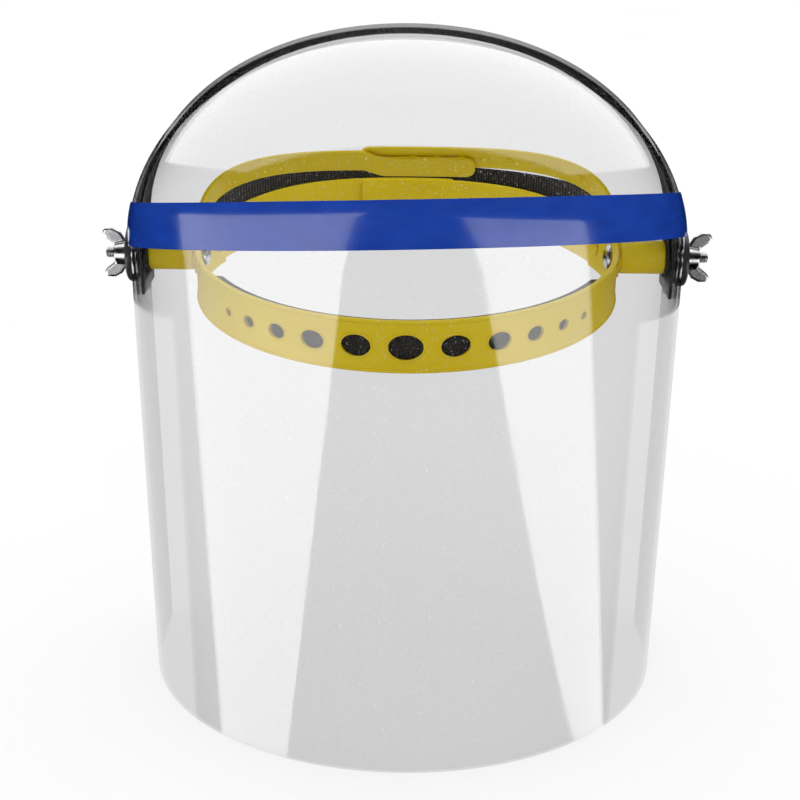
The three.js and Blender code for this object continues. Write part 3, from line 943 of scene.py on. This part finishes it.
class Strap:
    """A half of the crown strap, folded back about the pivot axis."""

    def __init__(self, side):
        self.side = side
        self.reach = STRAP_REACH if side > 0 else STRAP_REACH - STRAP_THICKNESS - 3 * GAP
        self.end = pi / 2 + (STRAP_LAP_RIGHT if side > 0 else STRAP_LAP_LEFT)

    def oval(self, turn):
        c = cos(turn)
        s = sin(turn)
        shape = abs(c / STRAP_FACE) ** STRAP_POWER + abs(s / self.reach) ** STRAP_POWER
        radius = shape ** (-1 / STRAP_POWER)
        return Vector((radius * c, radius * s, 0))

    def run(self, turn):
        """How far the strap goes over two slope steps."""
        return self.oval(turn + STRAP_SLOPE_STEP) - self.oval(turn - STRAP_SLOPE_STEP)

    def level_point(self, turn, height, outwards):
        """A point of the strap before it is folded back."""
        along = self.run(turn).normalized()
        place = self.oval(turn) + Vector((along.y, -along.x, 0)) * outwards
        width = lerp(STRAP_END_WIDTH, STRAP_WIDTH, smoothstep(turn, 0, STRAP_WIDENING))
        left = min(1, max(0, (self.end - turn) / STRAP_ROUND_END))
        width *= lerp(STRAP_TIP, 1, (1 - (1 - left) ** 2) ** 0.5)
        drop = 0 if self.side > 0 else TONGUE_DROP * smoothstep(turn, TONGUE_START, TONGUE_LEVEL)
        return self.side * place.x, place.y, width * (height - 0.5) - drop

    def point(self, turn, height, outwards=0.0):
        x, y, z = self.level_point(turn, height, outwards)
        c = cos(STRAP_FOLD)
        s = sin(STRAP_FOLD)
        return x, y * c - z * s, y * s + z * c

    def outward(self, turn, height):
        return Vector(self.point(turn, height, 1)) - Vector(self.point(turn, height))

    def speed(self, turn):
        """Millimetres per radian."""
        return self.run(turn).length / (2 * STRAP_SLOPE_STEP)

    def edge_bead(self, height):
        turns = spaced(-STRAP_OVERRUN, self.end, 100)
        path = [self.point(turn, height, -BEAD_SINK) for turn in turns]
        return bead(path, [self.outward(turn, height) for turn in turns], STRAP_RIM)

    def stud(self, turn):
        """A low round pin on the strap's inner face."""
        middle = Vector(self.point(turn, 0.5, -STRAP_THICKNESS))
        inward = -self.outward(turn, 0.5).normalized()
        one = inward.orthogonal().normalized()
        other = inward.cross(one)
        count = 20
        points = []
        for level, share in ((-STUD_SINK, 1), (STUD_SHOULDER, 1), (STUD_HEIGHT, STUD_TOP)):
            for k in range(count):
                angle = 2 * pi * k / count
                across = (one * cos(angle) + other * sin(angle)) * share * STUD_RADIUS
                points.append(tuple(middle + inward * level + across))
        faces = [list(range(2 * count, 3 * count))]
        for ring in range(2):
            for k in range(count):
                a = ring * count + k
                b = ring * count + (k + 1) % count
                faces.append((a, b, b + count, a + count))
        return points, faces


def make_crown_strap(name, side):
    """A folded half of the strap, with rolled edges; the right one has studs to set its length."""
    strap = Strap(side)
    round_start = strap.end - STRAP_ROUND_END
    cells = plain_cells(-STRAP_OVERRUN, round_start, radians(8))
    cells += plain_cells(round_start, strap.end, STRAP_ROUND_END)
    points, faces = pierced_strip(strap.point, cells, rows=6, steps=6)
    if side < 0:
        faces = reversed_faces(faces)
    obj = thicken(join(f"crown_strap_{name}_moulding", [(points, faces)]), STRAP_THICKNESS, MOULDED_EDGE)
    bore(obj, STRAP_FACE)
    trim = [strap.edge_bead(height) for height in (STRAP_RIM_INSET, 1 - STRAP_RIM_INSET)]
    turn = STUD_START
    while side > 0 and turn < pi / 2:
        trim.append(strap.stud(turn))
        turn += STUD_PITCH / strap.speed(turn)
    add_trim(obj, trim)
    return dress(obj, f"crown_strap_{name}", "crown_strap", "yellow_plastic", YELLOW)


# ---- Pivot hardware ----


def rounded_collar(radius, length, edge):
    """The profile of a ring with rounded outer edges, from x = 0 to x = length."""
    corner = [(1 - cos(a), sin(a)) for a in spaced(0, pi / 2, 4)]
    near = [(edge * x, radius - edge + edge * r) for x, r in corner]
    far = [(length - x, r) for x, r in reversed(near)]
    return [(0, BORE_RADIUS)] + near + far + [(length, BORE_RADIUS), (0, BORE_RADIUS)]


def threaded_end(start, end):
    """The bolt's thread: a ridge that winds along X."""
    columns = 40
    rows_a_turn = 8
    rows = round((end - start) / THREAD_PITCH * rows_a_turn)

    def point_at(u, v):
        x = lerp(start, end, v)
        phase = (x / THREAD_PITCH + u) % 1
        fade = min(1, (end - x) / THREAD_RUN_OUT)
        groove = THREAD_DEPTH * (1 - abs(2 * phase - 1))
        radius = BOLT_RADIUS - groove - THREAD_CHAMFER * (1 - fade)
        return x, -radius * sin(2 * pi * u), radius * cos(2 * pi * u)

    points, faces = grid(columns, rows, point_at)
    cap = [i * (rows + 1) + rows for i in range(columns)]
    return points, faces + [cap]


def make_bolt(name, side):
    """A bolt with a domed head inside the headband and a threaded end for the wing nut."""
    sweep = spaced(0, BOLT_HEAD_SWEEP, 10)[1:]
    dome = [(-BOLT_HEAD * cos(a), BOLT_HEAD_RADIUS * sin(a) ** BOLT_HEAD_FULLNESS) for a in sweep]
    head = turned([(-BOLT_HEAD, 0)] + dome + [(0, BOLT_HEAD_RADIUS), (0, BOLT_RADIUS)])
    plain = THREAD_START - BOLT_FACE
    shank = turned([(0, BOLT_RADIUS), (plain, BOLT_RADIUS), (plain, 0)])
    parts = [moved(head, BOLT_FACE, side), moved(shank, BOLT_FACE, side)]
    parts.append(moved(threaded_end(THREAD_START, BOLT_END), 0, side))
    bolt = settle(join(f"pivot_bolt_{name}_steel", parts))
    return dress(bolt, f"pivot_bolt_{name}", "headband", "zinc_steel", ZINC)


def make_collar(node, side, face, profile, slot, material):
    """A ring on the bolt: all of them go with the headband."""
    piece = settle(join(f"{node}_turned", [moved(turned(profile, 64), face, side)]))
    return dress(piece, node, "headband", slot, material)


def make_rivet(name, side):
    """A domed rivet, square to the brow band where it crosses it."""
    ring = Ring(BAND_HALF_WIDTH, BAND_FRONT, BAND_REAR)
    angle = rear_angle(RIVET_Y, BAND_REAR)
    middle = ring.point(angle, 0.5)
    out = ring.outward(angle)
    dome = [(RIVET_HEAD_THICKNESS * cos(a), RIVET_HEAD * sin(a)) for a in spaced(0, pi / 2, 6)]
    inner = [(-RIVET_BACK - x, radius) for x, radius in dome]
    outer = [(RIVET_FRONT + x, radius) for x, radius in reversed(dome)]
    inner[0] = (inner[0][0], 0)
    outer[-1] = (outer[-1][0], 0)
    shank = [(-RIVET_BACK, RIVET_HEAD / 2), (RIVET_FRONT, RIVET_HEAD / 2)]
    points, faces = turned(inner + shank + outer)
    placed = []
    for x, y, z in points:
        along = out[0] * x - out[1] * y
        back = out[1] * x + out[0] * y
        placed.append((side * (middle[0] + along), middle[1] + back, middle[2] + z))
    if side < 0:
        faces = reversed_faces(faces)
    rivet = settle(join(f"band_rivet_{name}_head", [(placed, faces)]))
    return dress(rivet, f"band_rivet_{name}", "headband", "yellow_plastic", YELLOW)


def wing_outline():
    """Half of a wing nut's side view, as (x, z): a rounded ear that leans outwards."""
    corners = [(0.8, 2.9), (0.8, 5.5), (3.2, 9.6), (6.8, WING_SPAN), (WING_HEIGHT - 1.2, WING_SPAN - 0.2)]
    corners += [(WING_HEIGHT, WING_SPAN - 2.4), (WING_HEIGHT - 1.5, 7), (NUT_HUB_HEIGHT - 0.6, 3.4)]
    return corners


def make_wing_nut(name, side):
    """A cast nut: the hub and its two wings run into each other."""
    hub = turned([(0, 0), (0, NUT_HUB_BASE), (NUT_HUB_HEIGHT, NUT_HUB_TOP), (NUT_HUB_HEIGHT, 0)])
    parts = [moved(hub, NUT_FACE, side)]
    half = WING_THICKNESS / 2
    outline = wing_outline()
    count = len(outline)
    for way in (-1, 1):
        points = [(x, -half, way * z) for x, z in outline] + [(x, half, way * z) for x, z in outline]
        faces = [list(range(count)), [count + k for k in reversed(range(count))]]
        faces += [(k, k + count, (k + 1) % count + count, (k + 1) % count) for k in range(count)]
        if way > 0:
            faces = reversed_faces(faces)
        parts.append(moved((points, faces), NUT_FACE, side))
    nut = join(f"wing_nut_{name}_casting", parts)
    round_edges(nut, WING_EDGE)
    remesh = nut.modifiers.new("cast", "REMESH")
    remesh.mode = "VOXEL"
    remesh.voxel_size = CAST_GRAIN * MM
    smooth = nut.modifiers.new("soften", "SMOOTH")
    smooth.iterations = 5
    settle(nut)
    bore(nut, NUT_FACE + WING_HEIGHT)
    return dress(nut, f"wing_nut_{name}", f"{name}_nut", "zinc_steel", ZINC)


def make_pivot(name, side):
    """A side's bolt, with all that it goes through, and the rivet behind it."""
    make_bolt(name, side)
    spacer = rounded_collar(SPACER_RADIUS, SPACER_FACE - SPACER_INNER, SPACER_EDGE)
    friction = rounded_collar(FRICTION_RADIUS, FRICTION_THICKNESS, FRICTION_EDGE)
    washer = rounded_collar(WASHER_RADIUS, WASHER_THICKNESS, WASHER_EDGE)
    make_collar(f"pivot_spacer_{name}", side, SPACER_INNER, spacer, "yellow_plastic", YELLOW)
    face = SPACER_FACE + GAP
    make_collar(f"friction_washer_{name}", side, face, friction, "black_rubber", RUBBER)
    make_collar(f"clamp_washer_{name}", side, WASHER_FACE, washer, "black_plastic", BLACK)
    make_wing_nut(name, side)
    make_rivet(name, side)


# ---- Floor, light and camera ----

FLOOR_SIZE = 12.0
PANEL_DISTANCE = 1.7
VISOR_MIDDLE = 0.12  # height from which the light panels' angles are measured

# The front panels' corners and the rear wall's span are angles in degrees, as toward() takes them.
LEFT_PANEL = ((-92, -2), (-13, -2), (-47, -38), (-81, -38))
RIGHT_PANEL = ((17, -6), (62, -6), (98, -38), (75, -37))
PANEL_LIGHT = 2.6
OVERHEAD_PANEL = ((-2.4, 2.6, 0.8), (2.4, 2.6, 0.8), (1.9, -0.33, 1.55), (-1.9, -0.33, 1.55))
OVERHEAD_LIGHT = 1.4
REAR_WALL = (100, 260, -45, -16)
REAR_LIGHT = 0.8
WORLD_LIGHT = 1.35
FLOOR_SHADE = 0.26
FLOOR_GLOW = 0.64


def make_floor():
    """Pale paper that glows a little, so that it stays white under the soft light."""
    floor = bpy.data.objects.new("floor", bpy.data.meshes.new("floor"))
    bm = bmesh.new()
    bmesh.ops.create_grid(bm, x_segments=8, y_segments=8, size=FLOOR_SIZE / 2)
    bm.to_mesh(floor.data)
    bm.free()
    bpy.context.scene.collection.objects.link(floor)
    finish = Finish("floor_paper")
    shade = finish.ramp(finish.noise(3), (0.3, FLOOR_SHADE), (0.7, FLOOR_SHADE + 0.02))
    shader = finish.add("BsdfPrincipled", Base_Color=shade, Roughness=0.9)
    shader.inputs["Specular IOR Level"].default_value = 0
    shader.inputs["Emission Color"].default_value = (1, 1, 1, 1)
    shader.inputs["Emission Strength"].default_value = FLOOR_GLOW
    floor.data.materials.append(finish.finish(shader.outputs[0]))
    floor.visible_glossy = False  # the visor mirrors the light panels, which reach below the floor


def glowing_panel(name, point_at, brightness, steps=12):
    """A panel of light that the camera doesn't see, as a surface from 0 to 1 both ways."""
    points, faces = grid(steps, steps, point_at)
    mesh = bpy.data.meshes.new(name)
    mesh.from_pydata(points, [], faces)
    panel = bpy.data.objects.new(name, mesh)
    bpy.context.scene.collection.objects.link(panel)
    panel.visible_camera = False
    finish = Finish(name)
    glow = finish.add("Emission", Strength=brightness)
    mesh.materials.append(finish.finish(glow.outputs[0]))


def toward(azimuth, elevation):
    """The point of the light panels' circle in a direction in degrees: right of the front, and up."""
    x = PANEL_DISTANCE * sin(radians(azimuth))
    y = -PANEL_DISTANCE * cos(radians(azimuth))
    return Vector((x, y, VISOR_MIDDLE + PANEL_DISTANCE * tan(radians(elevation))))


def flat_panel(name, corners, brightness):
    """A flat panel, from its corners: left top, right top, right foot, left foot."""

    def point_at(u, v):
        top = corners[0].lerp(corners[1], u)
        foot = corners[3].lerp(corners[2], u)
        return foot.lerp(top, v)

    glowing_panel(name, point_at, brightness)


def make_lights():
    """Two panels in front that the visor mirrors, one over it, and a low wall of light behind."""
    world = bpy.data.worlds.new("studio")
    world.use_nodes = True
    background = world.node_tree.nodes["Background"]
    background.inputs["Color"].default_value = (1, 1, 1, 1)
    background.inputs["Strength"].default_value = WORLD_LIGHT
    world.cycles_visibility.glossy = False
    bpy.context.scene.world = world
    flat_panel("left_panel", [toward(*corner) for corner in LEFT_PANEL], PANEL_LIGHT)
    flat_panel("right_panel", [toward(*corner) for corner in RIGHT_PANEL], PANEL_LIGHT)
    flat_panel("overhead_panel", [Vector(corner) for corner in OVERHEAD_PANEL], OVERHEAD_LIGHT)
    start, end, low, high = REAR_WALL

    def wall_at(u, v):
        return toward(lerp(start, end, u), lerp(low, high, v))

    glowing_panel("rear_wall", wall_at, REAR_LIGHT, steps=36)


CAMERA_DISTANCE = 0.6307
CAMERA_RISE = radians(16.69)  # how far above the pivots it stands, as an angle
CAMERA_PITCH = radians(22.68)
CAMERA_YAW = radians(0.24)
CAMERA_ROLL = radians(0.47)
LENS = 62.27


def make_camera():
    """A camera in front of the wearer and a little above, that looks down at the visor."""
    data = bpy.data.cameras.new("camera")
    data.lens = LENS
    data.sensor_width = 36
    camera = bpy.data.objects.new("camera", data)
    place = Vector((0, -cos(CAMERA_RISE), sin(CAMERA_RISE))) * CAMERA_DISTANCE + PIVOT
    right = Vector((cos(CAMERA_YAW), sin(CAMERA_YAW), 0))
    level = Vector((-sin(CAMERA_YAW), cos(CAMERA_YAW), 0))
    forward = level * cos(CAMERA_PITCH) - Vector((0, 0, sin(CAMERA_PITCH)))
    up = right.cross(forward)
    turned_right = right * cos(CAMERA_ROLL) + up * sin(CAMERA_ROLL)
    turned_up = up * cos(CAMERA_ROLL) - right * sin(CAMERA_ROLL)
    axes = Matrix((turned_right, turned_up, -forward)).transposed()
    camera.matrix_world = Matrix.Translation(place) @ axes.to_4x4()
    bpy.context.scene.collection.objects.link(camera)
    bpy.context.scene.camera = camera
    bpy.context.scene.view_settings.view_transform = "Standard"


# ---- Assembly ----

make_camera()
make_lights()
make_floor()
make_visor()
make_label()
make_crown_strip()
make_brow_band()
make_sweatband()
make_elastic()
for side_name, side_sign in SIDES.items():
    make_nape_band(side_name, side_sign)
    make_crown_strap(side_name, side_sign)
    make_pivot(side_name, side_sign)
